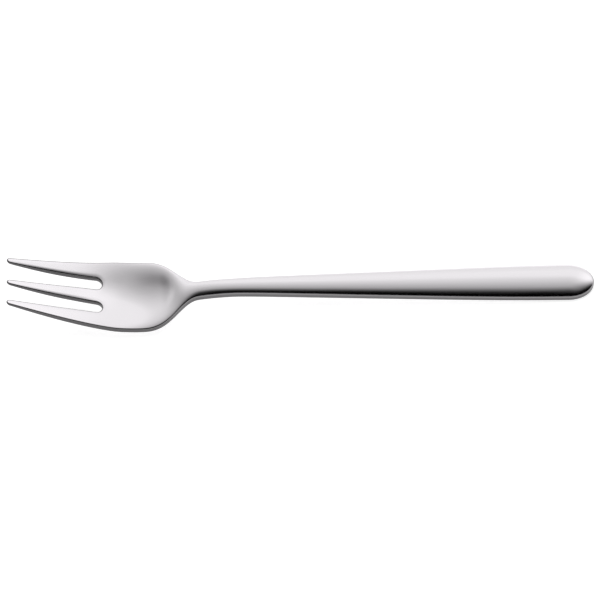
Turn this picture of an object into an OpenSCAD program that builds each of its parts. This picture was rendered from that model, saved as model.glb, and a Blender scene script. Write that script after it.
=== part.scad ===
// Pastry fork with three tines, one stamped and bent blank of polished steel.
// The steel is divided into named regions that meet face to face on flat sections.
// Stations are measured along the fork from the tine tips towards the handle's end.

/* [Overall] */
// Length from the tine tips to the end of the handle
overall_l = 156; // [140:1:175]
// Horizontal reach of the rounding along every edge
edge_r = 0.35; // [0.2:0.05:0.45]
// Height of the rounding along the upper edges
upper_edge_r = 0.35; // [0.1:0.05:0.4]
// Height of the rounding along the lower edges
lower_edge_r = 0.45; // [0.1:0.05:0.5]
// Depth polished off the two places that the fork rests on
rest_wear = 0.06; // [0.02:0.01:0.15]

/* [Head] */
// Greatest width of the head
head_w = 21.1; // [18:0.1:24]
// Station where the head reaches its greatest width
head_widest_at = 27.9; // [26:0.1:32]
// Length over which the head's side turns parallel to the axis
head_turn_l = 1.5; // [0.5:0.1:5]
// Width across the outer tines at their tips
tip_span_w = 14.3; // [12:0.1:16]
// Station where the shoulders start to draw in
shoulder_from = 34.2; // [32:0.1:38]
// Station where the shoulders have run into the neck
shoulder_to = 50.8; // [49:0.1:56]
// Share by which the shoulders' steepest place moves towards the neck
shoulder_skew_share = 0.35; // [0:0.05:0.8]
// Thickness of the head at its edge
head_t = 1.85; // [1.4:0.05:2.4]
// Depth of the hollow pressed into the head
dish_d = 1.7; // [0.6:0.05:2.2]
// Depth by which the middle tine lies below the outer ones
tine_dish_d = 0.4; // [0:0.05:0.8]
// Station where the hollow starts to deepen between the tines
dish_from = 14; // [8:0.5:20]
// Station where the hollow is at its full depth
dish_full_from = 36.5; // [30:0.5:38]
// Station where the hollow starts to run out towards the neck
dish_full_to = 39.5; // [38.5:0.1:42]
// Station where the hollow has run out
dish_to = 47; // [45:0.1:54]
// Station where the back of the head touches the table
head_rest_at = 35.4; // [33:0.1:38]

/* [Tines] */
// Length of the slots between the tines
slot_l = 24.4; // [20:0.1:26]
// Width of the slots where their round roots begin
slot_w = 3.2; // [2.8:0.05:3.8]
// Distance of each slot's root from the middle of the head
slot_offset = 3.65; // [3.3:0.05:4.1]
// Width of the middle tine at its tip
middle_tip_w = 1.3; // [0.9:0.05:1.8]
// Width of each outer tine at its tip
outer_tip_w = 1.4; // [0.9:0.05:1.6]
// Bulge of each side of the middle tine, halfway along it
middle_bulge = 0.2; // [0:0.02:0.5]
// Bulge of the inner side of each outer tine, halfway along it
outer_bulge = 0.24; // [0:0.02:0.5]
// Depth by which the upper side rolls off into the slots' roots
slot_roll_d = 0.15; // [0:0.01:0.3]
// What that roll-off gains halfway along the tines
slot_roll_bulge = 0.15; // [0:0.01:0.25]
// Distance from the slots' roots at which that roll-off starts
slot_roll_l = 1.4; // [1:0.05:1.8]
// Length of the round point on each tine
tip_round_l = 1; // [0.5:0.05:1.5]
// Thickness of the tines at their tips
tip_t = 0.95; // [0.9:0.05:1.4]
// Station where the tines reach the thickness of the head
tine_full_at = 20; // [14:0.5:22]
// Rise of the tines towards their tips, in degrees
tine_rise = 30.4; // [22:0.2:33]
// Station about which the tines bend upwards
tine_bend_at = 21.4; // [18:0.1:26]
// Length over which that bend is eased
tine_bend_l = 19.6; // [14:0.1:28]

/* [Neck and handle] */
// Width of the neck
neck_w = 4.95; // [3.4:0.05:5.5]
// Thickness of the neck at its edge
neck_t = 1.9; // [1.5:0.1:2.4]
// Rise of the neck behind the head, in degrees
neck_rise = 17; // [12:0.2:24]
// Station about which the neck bends upwards
heel_bend_at = 36; // [34:0.1:40]
// Length over which that bend is eased
heel_bend_l = 6; // [3:0.1:12]
// Station about which the neck bends over into the handle
crest_bend_at = 55.1; // [53:0.1:58]
// Length over which that bend is eased
crest_bend_l = 8; // [4:0.1:12]
// Station where the handle starts to widen
taper_from = 59.7; // [56:0.1:64]
// Length over which the neck's side turns into the taper
taper_start_l = 1; // [0.5:0.1:4]
// Station where the handle is at its full width
taper_to = 136; // [125:1:140]
// Length over which the handle's side turns parallel to the axis
taper_turn_l = 12; // [4:0.5:18]
// Greatest width of the handle
handle_w = 10.6; // [8:0.1:12]
// Thickness of the handle at its edge
handle_t = 1.7; // [1.3:0.1:2.2]
// Rise of the handle's upper side from its edge to its middle
handle_crown = 1.45; // [0.5:0.05:1.8]
// Station where the crown starts to rise inside the head's edges
crown_from = 27.5; // [26:0.5:34]
// Station where the crown has its full rise for the width there
crown_to = 58.5; // [50:0.5:60]
// Depth by which the upper side rolls off close to its edges
edge_roll_d = 0.16; // [0:0.02:0.3]
// Length of the round end of the handle
end_round_l = 7; // [4:0.1:10]
// Length of the handle's end that lies level on the table
end_level_l = 6; // [3:0.5:10]
// Length over which the handle turns level there
end_level_turn_l = 2; // [1:0.1:4]

/* [Hidden] */
steel = "lightsteelblue";

// Sections where one region of the steel meets the next
slot_r = slot_w / 2;
tine_root = slot_l - slot_r;
neck_from = (shoulder_from + shoulder_to) / 2;
handle_from = taper_from;
end_round_from = overall_l - end_round_l;
level_from = overall_l - end_level_l;

// Counts of the steps that curves are drawn in
edge_steps = 3;
slot_steps = 10;
land_steps = 3;
tine_steps = 16;
tine_column_steps = 6;
head_steps = 16;
neck_steps = 12;
handle_steps = 24;
handle_column_steps = 12;
end_steps = 4;

// Smooth ramp in length: nothing well before zero, the length itself well after it
function bend(run, turn_l) = (run + sqrt(run * run + turn_l * turn_l)) / 2;

// Share of the way from one station to another, and its smooth step from zero to one
function way_along(at, from, to) = max(0, min(1, (at - from) / (to - from)));
function eased(way) = way * way * way * (10 + way * (6 * way - 15));
function passed(at, from, to) = eased(way_along(at, from, to));

// Half of the outline's width, without the round end of the handle
head_slope = (head_w - tip_span_w) / 2 / head_widest_at;
handle_slope = (handle_w - neck_w) / 2 / (taper_to - taper_from);
function head_half(at) = head_w / 2 - head_slope * bend(head_widest_at - at, head_turn_l);
function handle_half(at) = neck_w / 2
    + handle_slope * (bend(at - taper_from, taper_start_l) - bend(at - taper_to, taper_turn_l));
function drawn_in(at) =
    let (way = way_along(at, shoulder_from, shoulder_to))
    eased(way - shoulder_skew_share * way * (1 - way));
function half_w(at) = head_half(at) * (1 - drawn_in(at)) + handle_half(at) * drawn_in(at);

// Thickness at the edge, which changes with the region and thins out towards the tips
function edge_t(at) = head_t
    + (neck_t - head_t) * passed(at, shoulder_from, shoulder_to)
    + (handle_t - neck_t) * passed(at, shoulder_to, taper_to)
    - (head_t - tip_t) * pow(max(0, 1 - at / tine_full_at), 2);

// Depth of the hollow and rise of the crown on the middle line
function dish(at) = tine_dish_d
    + (dish_d - tine_dish_d) * passed(at, dish_from, dish_full_from)
    - dish_d * passed(at, dish_full_to, dish_to);
function crown(at) = handle_crown * passed(at, crown_from, crown_to) * half_w(at) / (handle_w / 2);

// Share of the way from the middle line to the outline, squared
function out_share(at, y) = pow(y / half_w(at), 2)
    + pow(max(0, at - end_round_from) / end_round_l, 2);

// Height of the lower edge as its three bends leave it, and what the handle's fall takes off
function bent(at) = tan(tine_rise) * (bend(at - tine_bend_at, tine_bend_l) - at)
    + tan(neck_rise) * (bend(at - heel_bend_at, heel_bend_l) - bend(at - crest_bend_at, crest_bend_l));
function fall(at) = bend(at - crest_bend_at, crest_bend_l) - bend(at - level_from, end_level_turn_l);
function back(at) = bent(at) - dish(at);

// Fall of the handle that lets the head and the handle's end rest on one table
handle_fall = (back(overall_l) - back(head_rest_at)) / (fall(overall_l) - fall(head_rest_at));
table_z = back(head_rest_at) - handle_fall * fall(head_rest_at) + rest_wear;

// Edges of the tines, as distances from the middle line
function along_tine(at, tip, root, bulge) =
    let (s = at / tine_root)
    tip + (root - tip) * s + 4 * bulge * s * (1 - s);
function middle_edge(at) = along_tine(at, middle_tip_w / 2, slot_offset - slot_r, middle_bulge);
function inner_edge(at) =
    along_tine(at, tip_span_w / 2 - outer_tip_w, slot_offset + slot_r, -outer_bulge);

// How far the upper side rolls off, close to the outline and beside the slots
function edge_roll(at, in_share) =
    edge_roll_d * passed(at, crown_from, dish_full_to) * pow(1 - in_share, 8);
function slot_roll(at, y) =
    let (
        before = min(at, tine_root),
        slot_middle = (middle_edge(before) + inner_edge(before)) / 2,
        slot_half = (inner_edge(before) - middle_edge(before)) / 2,
        away = norm([at - before, abs(y) - slot_middle]) - slot_half,
        reach = slot_roll_l * (before / tine_root + 1) / 2)
    along_tine(before, 0, slot_roll_d, slot_roll_bulge) * pow(max(0, 1 - away / reach), 2);

// Height of the lower side and of the upper side
function lower_z(at, y) =
    let (in_share = max(0, 1 - out_share(at, y)))
    bent(at) - handle_fall * fall(at) - table_z - dish(at) * in_share * in_share;
function upper_z(at, y) =
    let (in_share = max(0, 1 - out_share(at, y)))
    lower_z(at, y) + edge_t(at) + crown(at) * in_share - edge_roll(at, in_share) - slot_roll(at, y);

// Angle of the edge rounding, from a quarter turn at the rim to zero inside it
function edge_angle(step) = 90 * (edge_steps - step) / edge_steps;

// Columns across a strip, each a share of the half-width and an edge angle
function columns(across) = concat(
    [for (e = [0 : edge_steps - 1]) [-1, edge_angle(e)]],
    [for (c = [0 : across]) [sin(180 * c / across - 90), 0]],
    [for (e = [edge_steps - 1 : -1 : 0]) [1, edge_angle(e)]]);

// A point of a pattern is its station, its place across and the share of its edge's drop
function across_point(at, mid, half, share, angle) =
    [at, mid + (half - edge_r + edge_r * sin(angle)) * share, 1 - cos(angle)];

function reversed(list) = [for (i = [len(list) - 1 : -1 : 0]) list[i]];

// The steel over a flat pattern, whose cells and rim run anticlockwise seen from above
module plate(points, cells, rim) {
    n = len(points);
    upper = [for (p = points) [p[0] - overall_l / 2, p[1], upper_z(p[0], p[1]) - upper_edge_r * p[2]]];
    lower = [for (p = points)
        [p[0] - overall_l / 2, p[1], max(0, lower_z(p[0], p[1]) + lower_edge_r * p[2])]];
    corners = [for (c = cells) each [[c[0], c[3], c[2]], [c[0], c[2], c[1]]]];
    faces = [for (f = corners) if (f[0] != f[1] && f[1] != f[2] && f[2] != f[0]) f];
    walls = [for (i = [0 : len(rim) - 1])
        let (a = rim[i], b = rim[(i + 1) % len(rim)])
        each [[a, b, b + n], [a, b + n, a + n]]];
    polyhedron(
        points = concat(upper, lower),
        faces = concat(faces, [for (f = faces) [f[2] + n, f[1] + n, f[0] + n]], walls),
        convexity = 6);
}

// A strip from a flat section to another, or to a round end of the given length
module strip(from, to, steps, across, sides, round_l = 0) {
    cols = columns(across);
    n = len(cols);
    way = sign(to - from);
    last = steps * n;
    tip_rows = round_l > 0 ? end_steps + edge_steps : 0;
    function middle(at) = (sides(at)[0] + sides(at)[1]) / 2;
    function half(at) = (sides(at)[1] - sides(at)[0]) / 2;
    function tip_angle(row) = 90 * max(0, row - end_steps) / edge_steps;
    function reach(row) = row <= end_steps
        ? (round_l - edge_r) * row / end_steps
        : round_l - edge_r + edge_r * sin(tip_angle(row));
    function tip_point(row, c) =
        let (turn = 180 * c / across - 90)
        across_point(to + way * reach(row) * cos(turn), middle(to), half(to), sin(turn), tip_angle(row));
    function tip_index(row, c) =
        let (past = max(0, row - end_steps))
        c == 0 ? last + edge_steps - past
        : c == across ? last + edge_steps + across + past
        : row == 0 ? last + edge_steps + c
        : last + n + (row - 1) * (across - 1) + c - 1;

    points = concat(
        [for (i = [0 : steps], c = cols)
            let (at = from + (to - from) * i / steps)
            across_point(at, middle(at), half(at), c[0], c[1])],
        [for (row = [1 : 1 : tip_rows], c = [1 : across - 1]) tip_point(row, c)]);
    cells = concat(
        [for (i = [0 : steps - 1], j = [0 : n - 2])
            [i * n + j, (i + 1) * n + j, (i + 1) * n + j + 1, i * n + j + 1]],
        [for (row = [0 : 1 : tip_rows - 1], c = [0 : across - 1])
            [tip_index(row, c), tip_index(row + 1, c), tip_index(row + 1, c + 1), tip_index(row, c + 1)]]);
    far_side = round_l > 0
        ? [for (c = [1 : across - 1]) tip_index(tip_rows, c)]
        : [for (j = [1 : n - 2]) last + j];
    rim = concat(
        [for (i = [0 : steps]) i * n],
        far_side,
        [for (i = [steps : -1 : 0]) i * n + n - 1],
        [for (j = [n - 2 : -1 : 1]) j]);
    plate(
        points,
        way > 0 ? cells : [for (c = cells) reversed(c)],
        way > 0 ? rim : reversed(rim));
}

// The head, from the section across the tines' roots to the section at the neck
module slotted_head() {
    front_half = half_w(tine_root) - edge_r;
    slot_turn_r = slot_r + edge_r;
    land_from = slot_offset + slot_turn_r;
    land_to = slot_offset - slot_turn_r;
    function slot_point(middle, turn, angle) =
        let (r = slot_turn_r - edge_r * sin(angle))
        [tine_root + r * sin(turn), middle - r * cos(turn), 1 - cos(angle)];
    function slot_arc(middle, angle) =
        [for (a = [0 : slot_steps]) slot_point(middle, 180 * a / slot_steps, angle)];
    function land(from, to, first, last) =
        [for (i = [first : last]) [tine_root, from + (to - from) * i / land_steps, 0]];

    fronts = concat(
        land(-front_half, -land_from, 0, land_steps - 1),
        slot_arc(-slot_offset, 0),
        land(-land_to, land_to, 1, land_steps - 1),
        slot_arc(slot_offset, 0),
        land(land_from, front_half, 1, land_steps));
    slot_firsts = [land_steps, 2 * land_steps + slot_steps];
    inner = len(fronts);
    n = inner + 2 * edge_steps;
    function front_at(j) = fronts[max(0, min(inner - 1, j - edge_steps))];
    function column_angle(j) = j < edge_steps ? edge_angle(j) : j < n - edge_steps ? 0 : edge_angle(n - 1 - j);
    function row_point(i, j) =
        let (
            front = front_at(j),
            at = front[0] + (neck_from - front[0]) * i / head_steps,
            share = front[1] / (half_w(front[0]) - edge_r))
        across_point(at, 0, half_w(at), share, column_angle(j));
    function slot_index(slot, e, a) = e == edge_steps
        ? edge_steps + slot_firsts[slot] + a
        : (head_steps + 1) * n + (slot * edge_steps + e) * (slot_steps + 1) + a;
    function slot_rim(slot) = concat(
        [for (e = [edge_steps : -1 : 0]) slot_index(slot, e, slot_steps)],
        [for (a = [slot_steps - 1 : -1 : 1]) slot_index(slot, 0, a)],
        [for (e = [0 : edge_steps]) slot_index(slot, e, 0)]);
    function land_rim(from, to) = [for (j = [from - 1 : -1 : to + 1]) j];

    points = concat(
        [for (i = [0 : head_steps], j = [0 : n - 1]) row_point(i, j)],
        [for (side = [-1, 1], e = [0 : edge_steps - 1]) each slot_arc(side * slot_offset, edge_angle(e))]);
    cells = concat(
        [for (i = [0 : head_steps - 1], j = [0 : n - 2])
            [i * n + j, (i + 1) * n + j, (i + 1) * n + j + 1, i * n + j + 1]],
        [for (slot = [0, 1], e = [0 : edge_steps - 1], a = [0 : slot_steps - 1])
            [slot_index(slot, e, a), slot_index(slot, e + 1, a),
                slot_index(slot, e + 1, a + 1), slot_index(slot, e, a + 1)]]);
    rim = concat(
        [for (i = [0 : head_steps]) i * n],
        [for (j = [1 : n - 2]) head_steps * n + j],
        [for (i = [head_steps : -1 : 0]) i * n + n - 1],
        land_rim(n - 1, slot_index(1, edge_steps, slot_steps)),
        slot_rim(1),
        land_rim(slot_index(1, edge_steps, 0), slot_index(0, edge_steps, slot_steps)),
        slot_rim(0),
        land_rim(slot_index(0, edge_steps, 0), 0));
    plate(points, cells, rim);
}

module left_tine() {
    color(steel) strip(tine_root, tip_round_l, tine_steps, tine_column_steps,
        function (at) [-half_w(at), -inner_edge(at)], tip_round_l);
}

module middle_tine() {
    color(steel) strip(tine_root, tip_round_l, tine_steps, tine_column_steps,
        function (at) [-middle_edge(at), middle_edge(at)], tip_round_l);
}

module right_tine() {
    color(steel) strip(tine_root, tip_round_l, tine_steps, tine_column_steps,
        function (at) [inner_edge(at), half_w(at)], tip_round_l);
}

module head() {
    color(steel) slotted_head();
}

module neck() {
    color(steel) strip(neck_from, handle_from, neck_steps, handle_column_steps,
        function (at) [-half_w(at), half_w(at)]);
}

module handle() {
    color(steel) strip(handle_from, end_round_from, handle_steps, handle_column_steps,
        function (at) [-half_w(at), half_w(at)], end_round_l);
}

left_tine();
middle_tine();
right_tine();
head();
neck();
handle();
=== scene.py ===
"""Pastry fork in polished steel: each region of the blank is drawn flat, pressed and bent."""
import math

import bpy
from bpy.props import FloatProperty, FloatVectorProperty, PointerProperty
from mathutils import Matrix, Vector


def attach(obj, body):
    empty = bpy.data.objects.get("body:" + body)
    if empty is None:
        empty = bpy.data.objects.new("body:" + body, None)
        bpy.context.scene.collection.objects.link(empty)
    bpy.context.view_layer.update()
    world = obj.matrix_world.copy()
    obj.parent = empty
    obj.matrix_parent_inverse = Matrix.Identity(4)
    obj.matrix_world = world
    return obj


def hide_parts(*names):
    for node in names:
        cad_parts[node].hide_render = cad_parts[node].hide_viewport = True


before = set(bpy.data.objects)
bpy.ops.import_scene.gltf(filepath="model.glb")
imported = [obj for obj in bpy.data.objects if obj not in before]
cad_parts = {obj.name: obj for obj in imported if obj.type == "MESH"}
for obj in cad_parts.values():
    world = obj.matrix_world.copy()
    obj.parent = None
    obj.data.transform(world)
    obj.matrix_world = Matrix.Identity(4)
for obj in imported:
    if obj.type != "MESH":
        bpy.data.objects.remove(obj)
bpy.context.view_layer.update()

bl_info = {
    "name": "Pastry Fork",
    "version": (1, 0, 0),
    "blender": (4, 5, 0),
    "location": "3D View > Sidebar > Fork",
    "description": "Builds a three-tined pastry fork in polished steel, with its studio",
    "category": "Add Mesh",
}

BODY = "root"
MM = 0.001

# Steps that the curves of the flat patterns are drawn in
EDGE_STEPS = 6
SLOT_STEPS = 32
LAND_STEPS = 16
TINE_STEPS = 60
TINE_COLUMNS = 20
HEAD_STEPS = 70
NECK_STEPS = 44
HANDLE_STEPS = 190
HANDLE_COLUMNS = 44
END_STEPS = 14
TIP_STEPS = 5

# Power by which the darker edge colour, partly from grinding and partly painted shade, sets in over the
# edges' rounding, sudden when it is near zero
GROUND_AND_SHADE_POWER = 0.15

# Places along the fork, in metres from its middle, where the tines' darker edge colour, painted shade over
# the edges' own colour, turns into the handle's
TINE_EDGE_SHADE_TO = -0.05
HANDLE_EDGE_SHADE_FROM = -0.02

# Grains per metre along, across and up the fork, and the levels of finer grain in them
LINE_GRAINS, LINE_DETAIL = (40, 2600, 2600), 3.0
WAVE_GRAINS, WAVE_DETAIL = (70, 260, 260), 1.0

# Range of the lines' noise that counts, and the share by which it sways the roughness
LINES_LOW, LINES_HIGH = 0.3, 0.7
ROUGHNESS_SWAY = 0.2

# Light by how far a direction points behind the fork, and the two ends of that ramp
LIGHT_STOPS = {
    -0.22: 0.013, -0.16: 0.03, -0.1: 0.08, -0.03: 0.165, 0.03: 0.285,
    0.09: 0.397, 0.16: 0.48, 0.24: 0.532, 0.32: 0.594, 0.45: 0.698,
    0.6: 0.805, 0.75: 0.96, 0.9: 0.975, 1.1: 0.975, 1.4: 0.95,
}
LIGHT_FROM, LIGHT_TO = -0.5, 1.5

# How far to the right the light there sets in, and how far up the horizon's light gives way
RIGHT_FROM, RIGHT_TO = 0.3, 0.65
HORIZON_TO, ABOVE_FROM = 0.2, 0.5

# Floor, lamp and camera, in metres where they are sizes
FLOOR_REACH = 3.0
FLOOR_GAP = 0.02 * MM
FLOOR_PAINT = (0.5, 0.5, 0.5, 1)
LAMP_PLACE = (-0.1, 0.15, 0.9)
SENSOR_W_MM = 36
CLIP_FROM, CLIP_TO = 0.01, 20


def length(label, default_mm, text, low_mm=0.0):
    """A size in metres, with its default written in millimetres."""
    return FloatProperty(name=label, description=text, default=default_mm * MM,
                         min=low_mm * MM, precision=5, unit="LENGTH")


def angle(label, default_deg, text):
    """An angle, with its default written in degrees."""
    return FloatProperty(name=label, description=text, default=math.radians(default_deg),
                         min=math.radians(-90), max=math.radians(90), subtype="ANGLE")


def share(label, default, text):
    """A number from zero to one."""
    return FloatProperty(name=label, description=text, default=default,
                         min=0.0, max=1.0, subtype="FACTOR")


def colour(label, default, text):
    """A colour, as its parts of red, green and blue."""
    return FloatVectorProperty(name=label, description=text, default=default, size=3,
                               min=0.0, max=1.0, subtype="COLOR")


class ForkOutline(bpy.types.PropertyGroup):
    """Sizes of the flat blank. Stations are measured from the tine tips."""
    overall_l: length("Length", 156, "From the tine tips to the end of the handle")
    head_w: length("Head width", 21.1, "Greatest width of the head")
    head_widest_at: length("Widest at", 27.9, "Station where the head is widest")
    head_turn_l: length("Head turn", 1.5, "Length over which the head's side turns parallel")
    tip_span_w: length("Span at the tips", 14.3, "Width across the outer tines at their tips")
    shoulder_from: length("Shoulder from", 34.2, "Station where the shoulders start")
    shoulder_to: length("Shoulder to", 50.8, "Station where the shoulders meet the neck")
    shoulder_skew: share("Shoulder skew", 0.35, "How near the neck the shoulders are steepest")
    neck_w: length("Neck width", 4.95, "Width of the neck")
    taper_from: length("Taper from", 59.7, "Station where the handle starts to widen")
    taper_start_l: length("Taper start", 1, "Length over which the neck turns into the taper")
    taper_to: length("Taper to", 136, "Station where the handle reaches its full width")
    taper_turn_l: length("Taper turn", 12, "Length over which the handle's side turns parallel")
    handle_w: length("Handle width", 10.6, "Greatest width of the handle")
    end_round_l: length("Round end", 7, "Length of the round end of the handle")
    slot_l: length("Slot length", 24.4, "Length of the slots between the tines")
    slot_w: length("Slot width", 3.2, "Width of the slots at their roots")
    slot_offset: length("Slot offset", 3.65, "Distance of each slot's root from the middle")
    middle_tip_w: length("Middle tip", 1.3, "Width of the middle tine at its tip")
    outer_tip_w: length("Outer tip", 1.4, "Width of each outer tine at its tip")
    middle_bulge: length("Middle bulge", 0.2, "Bulge of each side of the middle tine, halfway along")
    outer_bulge: length("Outer bulge", 0.24, "Bulge of each outer tine's inner side, halfway along")
    tip_round_l: length("Tip rounding", 1, "Length of the round point on each tine")


class ForkPressing(bpy.types.PropertyGroup):
    """Sizes that the presses give the blank: thickness, hollow, crown and bends."""
    tip_t: length("Tip thickness", 0.95, "Thickness of the tines at their tips")
    tine_full_at: length("Full thickness at", 20, "Station where the tines reach the head's thickness")
    head_t: length("Head thickness", 1.85, "Thickness of the head at its edge")
    neck_t: length("Neck thickness", 1.9, "Thickness of the neck at its edge")
    handle_t: length("Handle thickness", 1.7, "Thickness of the handle at its edge")
    edge_r: length("Edge reach", 0.35, "Horizontal reach of the rounding along the edges")
    upper_edge_r: length("Upper edge", 0.35, "Height of the rounding along the upper edges")
    lower_edge_r: length("Lower edge", 0.45, "Height of the rounding along the lower edges")
    dish_d: length("Hollow depth", 1.7, "Depth of the hollow pressed into the head")
    tine_dish_d: length("Tine hollow", 0.4, "Depth by which the middle tine lies below the outer ones")
    dish_from: length("Hollow from", 14, "Station where the hollow starts between the tines")
    dish_full_from: length("Hollow full from", 36.5, "Station where the hollow is full")
    dish_full_to: length("Hollow full to", 39.5, "Station where the hollow starts to run out")
    dish_to: length("Hollow to", 47, "Station where the hollow has run out")
    handle_crown: length("Crown", 1.45, "Rise of the handle's upper side over its edges")
    crown_from: length("Crown from", 27.5, "Station where the crown starts inside the head's edges")
    crown_to: length("Crown to", 58.5, "Station where the crown has its full rise for its width")
    edge_roll_d: length("Edge roll", 0.16, "Depth of the upper side's roll-off close to its edges")
    slot_roll_d: length("Slot roll", 0.15, "Depth of the upper side's roll-off at the slots' roots")
    slot_roll_bulge: length("Slot roll bulge", 0.15, "What that gains halfway along the tines")
    slot_roll_l: length("Slot roll length", 1.4, "Distance from the slots' roots at which it starts")
    tine_rise: angle("Tine rise", 30.4, "Rise of the tines towards their tips")
    tine_bend_at: length("Tine bend", 21.4, "Station about which the tines bend")
    tine_bend_l: length("Tine bend length", 19.6, "Length over which that bend is eased")
    neck_rise: angle("Neck rise", 17, "Rise of the neck behind the head")
    heel_bend_at: length("Heel bend", 36, "Station about which the neck bends up")
    heel_bend_l: length("Heel bend length", 6, "Length over which that bend is eased")
    crest_bend_at: length("Crest bend", 55.1, "Station about which the neck bends over")
    crest_bend_l: length("Crest bend length", 8, "Length over which that bend is eased")
    head_rest_at: length("Head rest", 35.4, "Station where the head's back meets the table")
    end_level_l: length("Level end", 6, "Length of the handle's end that lies level")
    end_level_turn_l: length("Level turn", 2, "Length over which the handle turns level")
    rest_wear: length("Rest wear", 0.06, "Depth polished off where the fork rests")


class ForkFinish(bpy.types.PropertyGroup):
    """Colour and polish of the steel."""
    steel_colour: colour("Steel colour", (0.86, 0.835, 0.86), "Colour of the polished faces")
    # Edge colours: partly the edges' own colour from grinding, partly painted shade and painted dark
    # reflection; the tines' darker one stands in for the dark their walls mirror
    edge_colour: colour("Edge colour", (0.145, 0.142, 0.145), "Colour of the handle's ground edges")
    tine_edge_colour: colour("Tine edge colour", (0.1, 0.097, 0.1), "Colour of the tines' ground edges")
    polish: share("Face roughness", 0.15, "Roughness of the polished faces")
    edge_polish: share("Edge roughness", 0.32, "Roughness of the ground edges")
    line_depth: length("Polishing lines", 0.0006, "Depth of the fine lines left by polishing")
    wave_depth: length("Polishing waves", 0.01, "Depth of the broad waves left by polishing")


class ForkStudio(bpy.types.PropertyGroup):
    """The camera, the soft light around the fork and two dark cards in it."""
    camera_elevation: angle("Camera elevation", 58, "Height of the camera over the horizon")
    camera_turn: angle("Camera turn", 2.9, "Turn of the camera's view from the fork's width")
    camera_distance: length("Camera distance", 700, "From the camera to the point it looks at")
    camera_lens: FloatProperty(
        name="Lens", description="Focal length in millimetres", default=157.9, min=10, max=300)
    aim_x: length("Aim along", -1.05, "Point looked at, along the fork", low_mm=-100)
    aim_y: length("Aim across", -3.26, "Point looked at, across the fork", low_mm=-100)
    aim_z: length("Aim height", 3, "Point looked at, above the floor")
    light_lean: share("Light lean", 0.45, "How far the light behind the fork leans to the right")
    right_light: share("Right light", 0.18, "Light added to the right")
    horizon_light: share("Horizon light", 0.9, "Light along the horizon")
    front_card_turn: angle("Front card turn", -9.3, "Turn of the card over the camera from the front")
    front_card_height: angle("Front card height", 44.5, "Elevation of that card's middle")
    front_card_reach: angle("Front card reach", 34.4, "Angle from its middle to its edge")
    front_card_blur: angle("Front card blur", 18.8, "Width of its soft edge")
    side_card_turn: angle("Side card turn", 60, "Turn of the card on the right from the front")
    side_card_height: angle("Side card height", 21, "Elevation of that card's middle")
    side_card_reach: angle("Side card reach", 50, "Angle from its middle to its edge")
    side_card_blur: angle("Side card blur", 27.7, "Width of its soft edge")
    lamp_power: FloatProperty(
        name="Lamp power", description="Power of the soft lamp over the floor, in watts",
        default=4, min=0, max=50)
    lamp_size: length("Lamp size", 700, "Side of that lamp")
    floor_glow: share("Floor glow", 0.78, "Light that the floor adds where it is seen or mirrored")


class Field:
    """A number that a node tree works out, written in formulas like a plain one."""

    def __init__(self, tree, socket):
        self.tree = tree
        self.socket = socket

    def math(self, operation, *values):
        """Adds a math node that takes this field and the given values."""
        node = self.tree.nodes.new("ShaderNodeMath")
        node.operation = operation
        for place, value in enumerate((self, *values)):
            plug(self.tree, value, node.inputs[place])
        return Field(self.tree, node.outputs[0])

    def __add__(self, other):
        return self.math("ADD", other)

    def __sub__(self, other):
        return self.math("SUBTRACT", other)

    def __mul__(self, other):
        return self.math("MULTIPLY", other)

    def __truediv__(self, other):
        return self.math("DIVIDE", other)

    def __rsub__(self, other):
        return self.math("MULTIPLY_ADD", -1.0, other)

    __radd__ = __add__
    __rmul__ = __mul__


def plug(tree, value, socket):
    """Feeds a socket with a field's output or with a plain number."""
    if isinstance(value, Field):
        tree.links.new(value.socket, socket)
    else:
        socket.default_value = value


def square_root(value):
    return value.math("SQRT") if isinstance(value, Field) else math.sqrt(value)


def tangent(value):
    return value.math("TANGENT") if isinstance(value, Field) else math.tan(value)


def at_least_zero(value):
    return value.math("MAXIMUM", 0.0) if isinstance(value, Field) else max(0.0, value)


def at_most_one(value):
    return value.math("MINIMUM", 1.0) if isinstance(value, Field) else min(1.0, value)


def bend(run, turn_l):
    """Smooth ramp: nothing well before zero, the run itself well after it."""
    return (run + square_root(run * run + turn_l * turn_l)) / 2


def way_along(at, start, end):
    """Share of the way from the start station to the end station."""
    return at_most_one(at_least_zero((at - start) / (end - start)))


def eased(way):
    """Turns a steady way from zero to one into one that starts and ends gently."""
    return way * way * way * (way * (way * 6 - 15) + 10)


def passed(at, start, end):
    """Smooth step from zero at the start station to one at the end station."""
    return eased(way_along(at, start, end))


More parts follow.
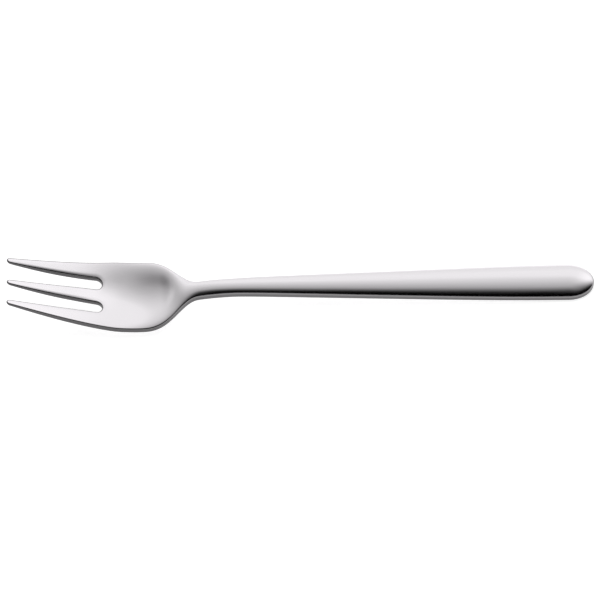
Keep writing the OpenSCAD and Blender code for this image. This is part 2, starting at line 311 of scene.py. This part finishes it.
class Shape:
    """Widths and heights of the fork. Its sizes are numbers, or fields in a node tree."""

    def __init__(self, sizes):
        self.s = sizes

    def tine_root(self):
        """Station where the tines meet the head and the slots' round roots begin."""
        return self.s.slot_l - self.s.slot_w / 2

    def neck_from(self):
        """Station where the head meets the neck."""
        return (self.s.shoulder_from + self.s.shoulder_to) / 2

    def head_half(self, at):
        """Half-width of the head as if its sides ran on."""
        s = self.s
        slope = (s.head_w - s.tip_span_w) / 2 / s.head_widest_at
        return s.head_w / 2 - slope * bend(s.head_widest_at - at, s.head_turn_l)

    def handle_half(self, at):
        """Half-width of the neck and handle as if their sides ran on."""
        s = self.s
        slope = (s.handle_w - s.neck_w) / 2 / (s.taper_to - s.taper_from)
        widened = bend(at - s.taper_from, s.taper_start_l) - bend(at - s.taper_to, s.taper_turn_l)
        return s.neck_w / 2 + slope * widened

    def drawn_in(self, at):
        """Share of the way from the head's side to the neck's."""
        s = self.s
        way = way_along(at, s.shoulder_from, s.shoulder_to)
        return eased(way - way * (1 - way) * s.shoulder_skew)

    def half_w(self, at):
        """Half of the outline's width, without the round end of the handle."""
        head, handle = self.head_half(at), self.handle_half(at)
        return head + (handle - head) * self.drawn_in(at)

    def both_sides(self, at):
        """Places across of the outline's two sides."""
        half = self.half_w(at)
        return -half, half

    def edge_t(self, at):
        """Thickness at the edge."""
        s = self.s
        left = at_least_zero(1 - at / s.tine_full_at)
        return (s.head_t
                + (s.neck_t - s.head_t) * passed(at, s.shoulder_from, s.shoulder_to)
                + (s.handle_t - s.neck_t) * passed(at, s.shoulder_to, s.taper_to)
                - (s.head_t - s.tip_t) * left * left)

    def dish(self, at):
        """Depth of the hollow on the middle line."""
        s = self.s
        return (s.tine_dish_d
                + (s.dish_d - s.tine_dish_d) * passed(at, s.dish_from, s.dish_full_from)
                - s.dish_d * passed(at, s.dish_full_to, s.dish_to))

    def crown(self, at):
        """Rise of the upper side on the middle line."""
        s = self.s
        full = s.handle_crown * passed(at, s.crown_from, s.crown_to)
        return full * self.half_w(at) / (s.handle_w / 2)

    def edge_roll(self, at):
        """Depth of the roll-off close to the outline."""
        s = self.s
        return s.edge_roll_d * passed(at, s.crown_from, s.dish_full_to)

    def slot_roll(self, at, across):
        """Roll-off beside the slots, narrowing to half its length at the tips."""
        s = self.s
        root = self.tine_root()
        past = at_least_zero(at - root)
        before = at - past
        inside, outside = self.middle_edge(before), self.inner_edge(before)
        aside = square_root(across * across) - (inside + outside) / 2
        away = square_root(past * past + aside * aside) - (outside - inside) / 2
        reach = s.slot_roll_l * (before / root + 1) / 2
        close = at_least_zero(1 - away / reach)
        return self.along_tine(before, 0, s.slot_roll_d, s.slot_roll_bulge) * close * close

    def in_share(self, at, across):
        """One on the middle line, falling to zero on the outline."""
        s = self.s
        side = across / self.half_w(at)
        end = at_least_zero(at - s.overall_l + s.end_round_l) / s.end_round_l
        return at_least_zero(1 - side * side - end * end)

    def bent(self, at):
        """Height that the tines' and the neck's bends give to the lower edge."""
        s = self.s
        tines = tangent(s.tine_rise) * (bend(at - s.tine_bend_at, s.tine_bend_l) - at)
        neck = tangent(s.neck_rise) * (bend(at - s.heel_bend_at, s.heel_bend_l)
                                       - bend(at - s.crest_bend_at, s.crest_bend_l))
        return tines + neck

    def fall(self, at):
        """What the slope of the handle takes off, for a slope of one."""
        s = self.s
        level_from = s.overall_l - s.end_level_l
        return bend(at - s.crest_bend_at, s.crest_bend_l) - bend(at - level_from, s.end_level_turn_l)

    def back(self, at):
        """Height of the middle of the back before the handle slopes."""
        return self.bent(at) - self.dish(at)

    def handle_fall(self):
        """Slope of the handle that lets the head and the handle's end rest on one table."""
        end, rest = self.s.overall_l, self.s.head_rest_at
        return (self.back(end) - self.back(rest)) / (self.fall(end) - self.fall(rest))

    def table_z(self):
        """Height of the table that the fork rests on."""
        rest = self.s.head_rest_at
        return self.back(rest) - self.handle_fall() * self.fall(rest) + self.s.rest_wear

    def along_tine(self, at, tip, root, bulge):
        """A value that runs from the tip's to the root's, with a bulge halfway."""
        way = at / self.tine_root()
        return tip + (root - tip) * way + 4 * bulge * way * (1 - way)

    def middle_edge(self, at):
        """Distance of the middle tine's edges from the middle line."""
        s = self.s
        return self.along_tine(at, s.middle_tip_w / 2, s.slot_offset - s.slot_w / 2, s.middle_bulge)

    def inner_edge(self, at):
        """Distance of the outer tines' inner edges from the middle line."""
        s = self.s
        tip = s.tip_span_w / 2 - s.outer_tip_w
        return self.along_tine(at, tip, s.slot_offset + s.slot_w / 2, s.outer_bulge * -1)


class Sizes:
    """The sizes that the shape's formulas read, gathered from the outline and the pressing."""

    def __init__(self, *holders):
        for holder in holders:
            for name in holder.__annotations__:
                setattr(self, name, getattr(holder, name))


def scene_sizes():
    """The sizes as they are set in the scene."""
    settings = bpy.context.scene.pastry_fork
    return Sizes(settings.outline, settings.pressing)


class Pattern:
    """A flat drawing of one region: corners, cells and a rim, anticlockwise from above.

    A corner is its station, its place across and its angle along the edge's rounding.
    Sections are the stations where the region meets its neighbours.
    """
    tolerance = 0.0001 * MM

    def __init__(self, corners, cells, rim, sections):
        self.corners = corners
        self.cells = cells
        self.rim = rim
        self.sections = sections

    def flipped(self):
        """The same drawing with its turning sense reversed."""
        cells = [cell[::-1] for cell in self.cells]
        return Pattern(self.corners, cells, self.rim[::-1], self.sections)

    def on_section(self, corner):
        """True where a corner lies on a section."""
        return any(abs(self.corners[corner][0] - at) < self.tolerance for at in self.sections)


def edge_angle(step):
    """Quarter turn at the rim, zero where the rounding meets the face."""
    return math.radians(90) * (EDGE_STEPS - step) / EDGE_STEPS


def across_corner(at, middle, half, part, turn, reach):
    """A corner at a part of the half-width, drawn in from the rim along the edge's rounding."""
    return at, middle + (half - reach + reach * math.sin(turn)) * part, turn


def strip_pattern(start, end, steps, columns, sides, reach, round_l=0.0, round_steps=END_STEPS):
    """A strip from a flat section to another, or to a round end of the given length.

    Each of its columns is a part of the half-width and an angle of the edge's rounding.
    """
    cols = [(-1.0, edge_angle(e)) for e in range(EDGE_STEPS)]
    cols += [(math.sin(math.pi * (c / columns - 0.5)), 0.0) for c in range(columns + 1)]
    cols += [(1.0, edge_angle(e)) for e in reversed(range(EDGE_STEPS))]
    n = len(cols)
    way = 1 if end > start else -1
    last = steps * n
    rows = round_steps + EDGE_STEPS if round_l else 0

    def middle_half(at):
        low, high = sides(at)
        return (low + high) / 2, (high - low) / 2

    def tip_index(row, c):
        past = max(0, row - round_steps)
        if c == 0:
            return last + EDGE_STEPS - past
        if c == columns:
            return last + EDGE_STEPS + columns + past
        if row == 0:
            return last + EDGE_STEPS + c
        return last + n + (row - 1) * (columns - 1) + c - 1

    corners = []
    for i in range(steps + 1):
        at = start + (end - start) * i / steps
        corners += [across_corner(at, *middle_half(at), part, turn, reach) for part, turn in cols]
    middle, half = middle_half(end)
    for row in range(1, rows + 1):
        turn = edge_angle(EDGE_STEPS - max(0, row - round_steps))
        run = (round_l - reach) * min(1.0, row / round_steps) + reach * math.sin(turn)
        for c in range(1, columns):
            round_turn = math.pi * (c / columns - 0.5)
            at = end + way * run * math.cos(round_turn)
            corners.append(across_corner(at, middle, half, math.sin(round_turn), turn, reach))

    cells = [(i * n + j, (i + 1) * n + j, (i + 1) * n + j + 1, i * n + j + 1)
             for i in range(steps) for j in range(n - 1)]
    cells += [(tip_index(r, c), tip_index(r + 1, c), tip_index(r + 1, c + 1), tip_index(r, c + 1))
              for r in range(rows) for c in range(columns)]
    rim = [i * n for i in range(steps + 1)]
    if round_l:
        rim += [tip_index(rows, c) for c in range(1, columns)]
    else:
        rim += [last + j for j in range(1, n - 1)]
    rim += [i * n + n - 1 for i in reversed(range(steps + 1))]
    rim += list(range(n - 2, 0, -1))
    pattern = Pattern(corners, cells, rim, [start] if round_l else [start, end])
    return pattern if way > 0 else pattern.flipped()


def head_pattern(sizes, shape):
    """The head, from the section across the tines' roots to the section at the neck."""
    reach = sizes.edge_r
    root, back = shape.tine_root(), shape.neck_from()
    front_half = shape.half_w(root) - reach
    turn_r = sizes.slot_w / 2 + reach

    def slot_arc(middle, edge_turn):
        r = turn_r - reach * math.sin(edge_turn)
        turns = [math.pi * a / SLOT_STEPS for a in range(SLOT_STEPS + 1)]
        return [(root + r * math.sin(t), middle - r * math.cos(t), edge_turn) for t in turns]

    def land(start, end, first, last):
        places = [start + (end - start) * i / LAND_STEPS for i in range(first, last + 1)]
        return [(root, place, 0.0) for place in places]

    offset = sizes.slot_offset
    fronts = land(-front_half, -offset - turn_r, 0, LAND_STEPS - 1)
    fronts += slot_arc(-offset, 0.0)
    fronts += land(-offset + turn_r, offset - turn_r, 1, LAND_STEPS - 1)
    fronts += slot_arc(offset, 0.0)
    fronts += land(offset + turn_r, front_half, 1, LAND_STEPS)
    slot_firsts = (LAND_STEPS, 2 * LAND_STEPS + SLOT_STEPS)
    inner = len(fronts)
    n = inner + 2 * EDGE_STEPS

    def row_corner(i, j):
        front_at, front_across = fronts[max(0, min(inner - 1, j - EDGE_STEPS))][:2]
        turn = edge_angle(min(j, n - 1 - j, EDGE_STEPS))
        at = front_at + (back - front_at) * i / HEAD_STEPS
        part = front_across / (shape.half_w(front_at) - reach)
        return across_corner(at, 0.0, shape.half_w(at), part, turn, reach)

    def slot_index(slot, e, a):
        if e == EDGE_STEPS:
            return EDGE_STEPS + slot_firsts[slot] + a
        return (HEAD_STEPS + 1) * n + (slot * EDGE_STEPS + e) * (SLOT_STEPS + 1) + a

    def slot_rim(slot):
        rim = [slot_index(slot, e, SLOT_STEPS) for e in range(EDGE_STEPS, -1, -1)]
        rim += [slot_index(slot, 0, a) for a in range(SLOT_STEPS - 1, 0, -1)]
        return rim + [slot_index(slot, e, 0) for e in range(EDGE_STEPS + 1)]

    corners = [row_corner(i, j) for i in range(HEAD_STEPS + 1) for j in range(n)]
    for side in (-1, 1):
        for e in range(EDGE_STEPS):
            corners += slot_arc(side * offset, edge_angle(e))
    cells = [(i * n + j, (i + 1) * n + j, (i + 1) * n + j + 1, i * n + j + 1)
             for i in range(HEAD_STEPS) for j in range(n - 1)]
    cells += [(slot_index(slot, e, a), slot_index(slot, e + 1, a),
               slot_index(slot, e + 1, a + 1), slot_index(slot, e, a + 1))
              for slot in (0, 1) for e in range(EDGE_STEPS) for a in range(SLOT_STEPS)]
    rim = [i * n for i in range(HEAD_STEPS + 1)]
    rim += [HEAD_STEPS * n + j for j in range(1, n - 1)]
    rim += [i * n + n - 1 for i in reversed(range(HEAD_STEPS + 1))]
    before = n - 1
    for slot in (1, 0):
        rim += list(range(before - 1, slot_index(slot, EDGE_STEPS, SLOT_STEPS), -1)) + slot_rim(slot)
        before = slot_index(slot, EDGE_STEPS, 0)
    rim += list(range(before - 1, 0, -1))
    return Pattern(corners, cells, rim, [root, back])


def blank_mesh(name, pattern):
    """A slab over the flat pattern, marked with its sides, its rounding and its darker edges, partly from
    grinding and partly painted shade.
    """
    n = len(pattern.corners)
    upper = [(at, across, MM) for at, across, turn in pattern.corners]
    lower = [(at, across, 0.0) for at, across, turn in pattern.corners]
    drops = [1 - math.cos(turn) for at, across, turn in pattern.corners]
    # Mark for darker edges: the rounding's share to a small power on the upper cells, full on the lower
    # rounding and the walls; partly edges darker from grinding, partly painted shade and painted dark
    # reflection
    faces, ground_and_shade_marks = [], []
    for cell in pattern.cells:
        corners = list(dict.fromkeys(cell))
        if len(corners) > 2:
            turned = sum(drops[i] for i in corners) / len(corners)
            faces += [corners, [i + n for i in reversed(corners)]]
            ground_and_shade_marks += [turned ** GROUND_AND_SHADE_POWER, float(turned > 0)]
    sharp = set()
    for a, b in zip(pattern.rim, pattern.rim[1:] + pattern.rim[:1]):
        faces.append([b, a, a + n, b + n])
        ground_and_shade_marks.append(1.0)
        if pattern.on_section(a) and pattern.on_section(b):
            sharp.update({tuple(sorted((a, b))), tuple(sorted((a + n, b + n)))})
    mesh = bpy.data.meshes.new(name)
    mesh.from_pydata(upper + lower, [], faces)
    mesh.update()
    edges = [tuple(sorted(edge.vertices)) in sharp for edge in mesh.edges]
    marks = (("side", "FLOAT", "POINT", [1.0] * n + [-1.0] * n), ("drop", "FLOAT", "POINT", drops * 2),
             ("ground", "FLOAT", "FACE", ground_and_shade_marks), ("sharp_edge", "BOOLEAN", "EDGE", edges))
    for mark, kind, domain, values in marks:
        mesh.attributes.new(mark, kind, domain).data.foreach_set("value", values)
    return mesh


def pressing_tree():
    """Node group that presses and bends a flat blank, with the fork's sizes as its inputs."""
    name = "Press and bend the blank"
    if name in bpy.data.node_groups:
        return bpy.data.node_groups[name]
    tree = bpy.data.node_groups.new(name, "GeometryNodeTree")
    interface = tree.interface
    interface.new_socket("Blank", in_out="INPUT", socket_type="NodeSocketGeometry")
    interface.new_socket("Steel", in_out="INPUT", socket_type="NodeSocketMaterial")
    names = [*ForkOutline.__annotations__, *ForkPressing.__annotations__, "handle_fall", "table_z"]
    for size in names:
        interface.new_socket(size, in_out="INPUT", socket_type="NodeSocketFloat")
    interface.new_socket("Fork", in_out="OUTPUT", socket_type="NodeSocketGeometry")

    nodes, links = tree.nodes, tree.links
    given = nodes.new("NodeGroupInput")
    sizes = Sizes()
    for size in names:
        setattr(sizes, size, Field(tree, given.outputs[size]))
    shape = Shape(sizes)

    place = nodes.new("ShaderNodeSeparateXYZ")
    links.new(nodes.new("GeometryNodeInputPosition").outputs[0], place.inputs[0])
    at, across = Field(tree, place.outputs[0]), Field(tree, place.outputs[1])
    side, drop = (named_field(tree, mark) for mark in ("side", "drop"))
    upper_share = (side + 1) / 2
    in_share = shape.in_share(at, across)
    outwards = 1 - in_share
    close = outwards * outwards
    closest = close * close * close * close

    standing = shape.bent(at) - sizes.handle_fall * shape.fall(at) - sizes.table_z
    back = standing - shape.dish(at) * in_share * in_share
    raised = shape.crown(at) * in_share - shape.edge_roll(at) * closest - shape.slot_roll(at, across)
    pressed = back + upper_share * (shape.edge_t(at) + raised)
    rounding = upper_share * sizes.upper_edge_r - (1 - upper_share) * sizes.lower_edge_r
    height = at_least_zero(pressed - rounding * drop)

    point = nodes.new("ShaderNodeCombineXYZ")
    plug(tree, at - sizes.overall_l / 2, point.inputs[0])
    plug(tree, across, point.inputs[1])
    plug(tree, height, point.inputs[2])
    move = nodes.new("GeometryNodeSetPosition")
    realize = nodes.new("GeometryNodeRealizeInstances")
    dress = nodes.new("GeometryNodeSetMaterial")
    result = nodes.new("NodeGroupOutput")
    links.new(given.outputs["Blank"], move.inputs["Geometry"])
    links.new(point.outputs[0], move.inputs["Position"])
    links.new(move.outputs[0], realize.inputs[0])
    links.new(realize.outputs[0], dress.inputs["Geometry"])
    links.new(given.outputs["Steel"], dress.inputs["Material"])
    links.new(dress.outputs[0], result.inputs[0])
    return tree


def named_field(tree, name):
    """Reads one of the marks on the blank."""
    node = tree.nodes.new("GeometryNodeInputNamedAttribute")
    node.data_type = "FLOAT"
    node.inputs["Name"].default_value = name
    return Field(tree, node.outputs["Attribute"])


def press(name, pattern):
    """Presses a flat pattern into its place on the fork and returns it as a plain mesh."""
    sizes = scene_sizes()
    shape = Shape(sizes)
    values = dict(vars(sizes), handle_fall=shape.handle_fall(), table_z=shape.table_z(),
                  Steel=steel_material())
    blank = bpy.data.objects.new(name + "_blank", blank_mesh(name, pattern))
    bpy.context.collection.objects.link(blank)
    modifier = blank.modifiers.new("Press", "NODES")
    modifier.node_group = pressing_tree()
    for item in modifier.node_group.interface.items_tree:
        if item.in_out == "INPUT" and item.name in values:
            modifier[item.identifier] = values[item.name]
    evaluated = blank.evaluated_get(bpy.context.evaluated_depsgraph_get())
    piece = bpy.data.objects.new(name, bpy.data.meshes.new_from_object(evaluated))
    piece.data.name = name
    bpy.context.collection.objects.link(piece)
    bpy.data.objects.remove(blank)
    return piece


def fit(piece, node):
    """Puts a finished piece in its CAD node's place."""
    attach(piece, BODY)
    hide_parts(node)


def shader_node(tree, kind, inputs=(), **settings):
    """Adds a node, sets its constants and links its inputs, given by name or place."""
    node = tree.nodes.new(kind)
    for name, value in settings.items():
        setattr(node, name, value)
    for key, value in dict(inputs).items():
        if isinstance(value, bpy.types.NodeSocket):
            tree.links.new(value, node.inputs[key])
        else:
            node.inputs[key].default_value = value
    return node


def mixed_colour(tree, factor, first, second):
    """Mixes two colours, each a constant or a socket. The node's colours are its inputs 6 and 7."""
    first, second = (v if isinstance(v, bpy.types.NodeSocket) else (*v, 1) for v in (first, second))
    mix = shader_node(tree, "ShaderNodeMix", {0: factor, 6: first, 7: second}, data_type="RGBA")
    return mix.outputs[2]


def stretched_noise(tree, place, grains, detail):
    """Noise whose grains are drawn out along the fork."""
    drawn = shader_node(tree, "ShaderNodeMapping", {"Vector": place, "Scale": grains}).outputs[0]
    noise = shader_node(tree, "ShaderNodeTexNoise", {"Vector": drawn, "Scale": 1, "Detail": detail})
    return noise.outputs["Fac"]


def part_of_span(tree, value, start, end, **settings):
    """Turns a value between start and end into a number from zero to one."""
    return shader_node(tree, "ShaderNodeMapRange", {
        "Value": value, "From Min": start, "From Max": end}, **settings).outputs[0]


def steel_material():
    """Softly polished steel with fine lines along the fork, and darker edges: partly a rougher finish from
    grinding, partly painted shade and painted dark reflection.
    """
    name = "Polished steel"
    if name in bpy.data.materials:
        return bpy.data.materials[name]
    finish = bpy.context.scene.pastry_fork.finish
    material = bpy.data.materials.new(name)
    material.use_nodes = True
    tree = material.node_tree
    place = shader_node(tree, "ShaderNodeTexCoord").outputs["Object"]
    ground = shader_node(tree, "ShaderNodeAttribute", attribute_name="ground").outputs["Fac"]

    along = shader_node(tree, "ShaderNodeSeparateXYZ", {0: place}).outputs["X"]
    # Painted shade: the edges' colour is darker than the steel, darkest on the tines, standing in for the
    # dark their walls mirror; only part of it is the edges' own colour from grinding
    to_handle = part_of_span(tree, along, TINE_EDGE_SHADE_TO, HANDLE_EDGE_SHADE_FROM)
    edge_and_shade_tone = mixed_colour(tree, to_handle, finish.tine_edge_colour, finish.edge_colour)
    steel_and_shade_tone = mixed_colour(tree, ground, finish.steel_colour, edge_and_shade_tone)

    lines = stretched_noise(tree, place, LINE_GRAINS, LINE_DETAIL)
    waves = stretched_noise(tree, place, WAVE_GRAINS, WAVE_DETAIL)
    matt = shader_node(tree, "ShaderNodeMapRange", {
        "Value": lines, "From Min": LINES_LOW, "From Max": LINES_HIGH,
        "To Min": finish.polish * (1 - ROUGHNESS_SWAY), "To Max": finish.polish * (1 + ROUGHNESS_SWAY)})
    roughness = shader_node(tree, "ShaderNodeMix", {0: ground, 2: matt.outputs[0], 3: finish.edge_polish})
    broad = shader_node(tree, "ShaderNodeBump", {"Height": waves, "Distance": finish.wave_depth})
    fine = shader_node(tree, "ShaderNodeBump", {
        "Height": lines, "Distance": finish.line_depth, "Normal": broad.outputs[0]})

    steel = tree.nodes["Principled BSDF"]
    steel.inputs["Metallic"].default_value = 1
    tree.links.new(steel_and_shade_tone, steel.inputs["Base Color"])
    tree.links.new(roughness.outputs[0], steel.inputs["Roughness"])
    tree.links.new(fine.outputs[0], steel.inputs["Normal"])
    return material


def steel_piece(node, pattern):
    """Makes one region of the steel and fits it."""
    piece = press(node + "_steel", pattern)
    piece.data.shade_smooth()
    fit(piece, node)


class PASTRYFORK_OT_tines(bpy.types.Operator):
    """Make the three tapering tines"""
    bl_idname = "pastry_fork.tines"
    bl_label = "Tines"

    def execute(self, context):
        sizes = scene_sizes()
        shape = Shape(sizes)
        sides = {
            "left_tine": lambda at: (-shape.half_w(at), -shape.inner_edge(at)),
            "middle_tine": lambda at: (-shape.middle_edge(at), shape.middle_edge(at)),
            "right_tine": lambda at: (shape.inner_edge(at), shape.half_w(at)),
        }
        for node, side in sides.items():
            pattern = strip_pattern(shape.tine_root(), sizes.tip_round_l, TINE_STEPS, TINE_COLUMNS,
                                    side, sizes.edge_r, sizes.tip_round_l, TIP_STEPS)
            steel_piece(node, pattern)
        return {"FINISHED"}


class PASTRYFORK_OT_head(bpy.types.Operator):
    """Make the dished head with the round roots of the slots"""
    bl_idname = "pastry_fork.head"
    bl_label = "Head"

    def execute(self, context):
        sizes = scene_sizes()
        steel_piece("head", head_pattern(sizes, Shape(sizes)))
        return {"FINISHED"}


class PASTRYFORK_OT_neck(bpy.types.Operator):
    """Make the shoulders and the narrow neck"""
    bl_idname = "pastry_fork.neck"
    bl_label = "Neck"

    def execute(self, context):
        sizes = scene_sizes()
        shape = Shape(sizes)
        pattern = strip_pattern(shape.neck_from(), sizes.taper_from, NECK_STEPS, HANDLE_COLUMNS,
                                shape.both_sides, sizes.edge_r)
        steel_piece("neck", pattern)
        return {"FINISHED"}


class PASTRYFORK_OT_handle(bpy.types.Operator):
    """Make the crowned handle with its round end"""
    bl_idname = "pastry_fork.handle"
    bl_label = "Handle"

    def execute(self, context):
        sizes = scene_sizes()
        shape = Shape(sizes)
        pattern = strip_pattern(sizes.taper_from, sizes.overall_l - sizes.end_round_l, HANDLE_STEPS,
                                HANDLE_COLUMNS, shape.both_sides, sizes.edge_r, sizes.end_round_l)
        steel_piece("handle", pattern)
        return {"FINISHED"}


def studio_floor(studio):
    """A wide pale floor, which is seen and mirrored as white but for the fork's soft shadow."""
    mesh = bpy.data.meshes.new("floor")
    sides = ((-1, -1), (1, -1), (1, 1), (-1, 1))
    corners = [(x * FLOOR_REACH, y * FLOOR_REACH, -FLOOR_GAP) for x, y in sides]
    mesh.from_pydata(corners, [], [range(len(corners))])
    floor = bpy.data.objects.new("studio_floor", mesh)
    bpy.context.collection.objects.link(floor)
    material = bpy.data.materials.new("Pale floor")
    material.use_nodes = True
    tree = material.node_tree
    tree.nodes.clear()
    path = shader_node(tree, "ShaderNodeLightPath").outputs
    seen = add(tree, add(tree, path["Is Camera Ray"], path["Is Glossy Ray"]), path["Is Transmission Ray"])
    paint = shader_node(tree, "ShaderNodeBsdfDiffuse", {"Color": FLOOR_PAINT})
    glow = shader_node(tree, "ShaderNodeEmission", {"Strength": multiply(tree, seen, studio.floor_glow)})
    both = shader_node(tree, "ShaderNodeAddShader", {0: paint.outputs[0], 1: glow.outputs[0]})
    shader_node(tree, "ShaderNodeOutputMaterial", {"Surface": both.outputs[0]})
    mesh.materials.append(material)


def calculated(tree, operation, *values):
    """The result of a math node on constants or sockets."""
    return shader_node(tree, "ShaderNodeMath", dict(enumerate(values)), operation=operation).outputs[0]


def add(tree, first, second):
    return calculated(tree, "ADD", first, second)


def multiply(tree, first, second):
    return calculated(tree, "MULTIPLY", first, second)


def smooth_step(tree, value, start, end):
    """Zero before the start and one after the end, with a smooth step between."""
    return part_of_span(tree, value, start, end, interpolation_type="SMOOTHSTEP")


def outside_card(tree, way, turn, height, reach, blur):
    """One outside a round dark card in the surroundings, falling to zero inside it."""
    level = math.cos(height)
    middle = (math.sin(turn) * level, -math.cos(turn) * level, math.sin(height))
    near = shader_node(tree, "ShaderNodeVectorMath", {0: way, 1: middle}, operation="DOT_PRODUCT")
    arc = calculated(tree, "ARCCOSINE", near.outputs["Value"])
    return smooth_step(tree, arc, reach - blur / 2, reach + blur / 2)


def light_ramp(tree, behind):
    """Light that grows with how far a direction points behind the fork."""
    ramp = shader_node(tree, "ShaderNodeValToRGB", {0: part_of_span(tree, behind, LIGHT_FROM, LIGHT_TO)})
    elements = ramp.color_ramp.elements
    elements.remove(elements[1])
    for place, light in LIGHT_STOPS.items():
        stop = elements.new((place - LIGHT_FROM) / (LIGHT_TO - LIGHT_FROM))
        stop.color = (light, light, light, 1)
    elements.remove(elements[0])
    return ramp.outputs[0]


def studio_world(studio):
    """Soft light, brightest behind the fork, with a dark card over the camera and one beside it."""
    world = bpy.data.worlds.new("Studio")
    bpy.context.scene.world = world
    world.use_nodes = True
    tree = world.node_tree
    tree.nodes.clear()
    way = shader_node(tree, "ShaderNodeTexCoord").outputs["Generated"]
    parts = shader_node(tree, "ShaderNodeSeparateXYZ", {0: way}).outputs
    behind = add(tree, parts["Y"], multiply(tree, parts["X"], studio.light_lean))
    front = outside_card(tree, way, studio.front_card_turn, studio.front_card_height,
                         studio.front_card_reach, studio.front_card_blur)
    side = outside_card(tree, way, studio.side_card_turn, studio.side_card_height,
                        studio.side_card_reach, studio.side_card_blur)
    right = multiply(tree, smooth_step(tree, parts["X"], RIGHT_FROM, RIGHT_TO), studio.right_light)
    overhead = multiply(tree, multiply(tree, add(tree, light_ramp(tree, behind), right), front), side)
    above = smooth_step(tree, parts["Z"], HORIZON_TO, ABOVE_FROM)
    light = shader_node(tree, "ShaderNodeMix", {0: above, 2: studio.horizon_light, 3: overhead}).outputs[0]
    glow = shader_node(tree, "ShaderNodeBackground", {"Color": (1, 1, 1, 1), "Strength": light})
    shader_node(tree, "ShaderNodeOutputWorld", {"Surface": glow.outputs[0]})


def studio_lamp(studio):
    """A broad soft lamp that lights the floor and gives the fork its shadow."""
    lamp = bpy.data.lights.new("soft_lamp", "AREA")
    lamp.energy = studio.lamp_power
    lamp.size = studio.lamp_size
    holder = bpy.data.objects.new("soft_lamp", lamp)
    holder.location = LAMP_PLACE
    holder.rotation_euler = (-holder.location).to_track_quat("-Z", "Y").to_euler()
    holder.visible_glossy = False
    bpy.context.collection.objects.link(holder)


def studio_camera(studio):
    """A long lens that looks down on the fork from the front."""
    camera = bpy.data.cameras.new("studio_camera")
    camera.lens = studio.camera_lens
    camera.sensor_width = SENSOR_W_MM
    camera.clip_start = CLIP_FROM
    camera.clip_end = CLIP_TO
    holder = bpy.data.objects.new("studio_camera", camera)
    bpy.context.collection.objects.link(holder)
    aim = Vector((studio.aim_x, studio.aim_y, studio.aim_z))
    level = math.cos(studio.camera_elevation)
    sight = Vector((math.sin(studio.camera_turn) * level, math.cos(studio.camera_turn) * level,
                    -math.sin(studio.camera_elevation)))
    holder.location = aim - studio.camera_distance * sight
    holder.rotation_euler = sight.to_track_quat("-Z", "Y").to_euler()
    bpy.context.scene.camera = holder


class PASTRYFORK_OT_studio(bpy.types.Operator):
    """Make the floor, the light and the camera"""
    bl_idname = "pastry_fork.studio"
    bl_label = "Studio"

    def execute(self, context):
        studio = context.scene.pastry_fork.studio
        studio_floor(studio)
        studio_world(studio)
        studio_lamp(studio)
        studio_camera(studio)
        context.scene.view_settings.view_transform = "Standard"
        return {"FINISHED"}


class ForkSettings(bpy.types.PropertyGroup):
    """Everything that a user can change about the fork."""
    outline: PointerProperty(type=ForkOutline, name="Outline", description="Sizes of the flat blank")
    pressing: PointerProperty(type=ForkPressing, name="Pressing", description="Sizes that the presses give")
    finish: PointerProperty(type=ForkFinish, name="Finish", description="Colour and polish")
    studio: PointerProperty(type=ForkStudio, name="Studio", description="Camera and light")


class PASTRYFORK_PT_fork(bpy.types.Panel):
    """Lists the fork's pieces and the studio"""
    bl_idname = "PASTRYFORK_PT_fork"
    bl_label = "Pastry Fork"
    bl_space_type = "VIEW_3D"
    bl_region_type = "UI"
    bl_category = "Fork"

    def draw(self, context):
        for operator in STEPS:
            self.layout.operator(operator.bl_idname)
        settings = context.scene.pastry_fork
        for group in (settings.outline, settings.pressing, settings.finish, settings.studio):
            box = self.layout.box()
            for name in group.__annotations__:
                box.prop(group, name)


STEPS = (PASTRYFORK_OT_tines, PASTRYFORK_OT_head, PASTRYFORK_OT_neck,
         PASTRYFORK_OT_handle, PASTRYFORK_OT_studio)
CLASSES = (ForkOutline, ForkPressing, ForkFinish, ForkStudio, ForkSettings, *STEPS, PASTRYFORK_PT_fork)


def register():
    for kind in CLASSES:
        bpy.utils.register_class(kind)
    bpy.types.Scene.pastry_fork = PointerProperty(type=ForkSettings)


def unregister():
    del bpy.types.Scene.pastry_fork
    for kind in reversed(CLASSES):
        bpy.utils.unregister_class(kind)


def main():
    register()
    bpy.ops.pastry_fork.tines()
    bpy.ops.pastry_fork.head()
    bpy.ops.pastry_fork.neck()
    bpy.ops.pastry_fork.handle()
    bpy.ops.pastry_fork.studio()


if __name__ == "__main__":
    main()
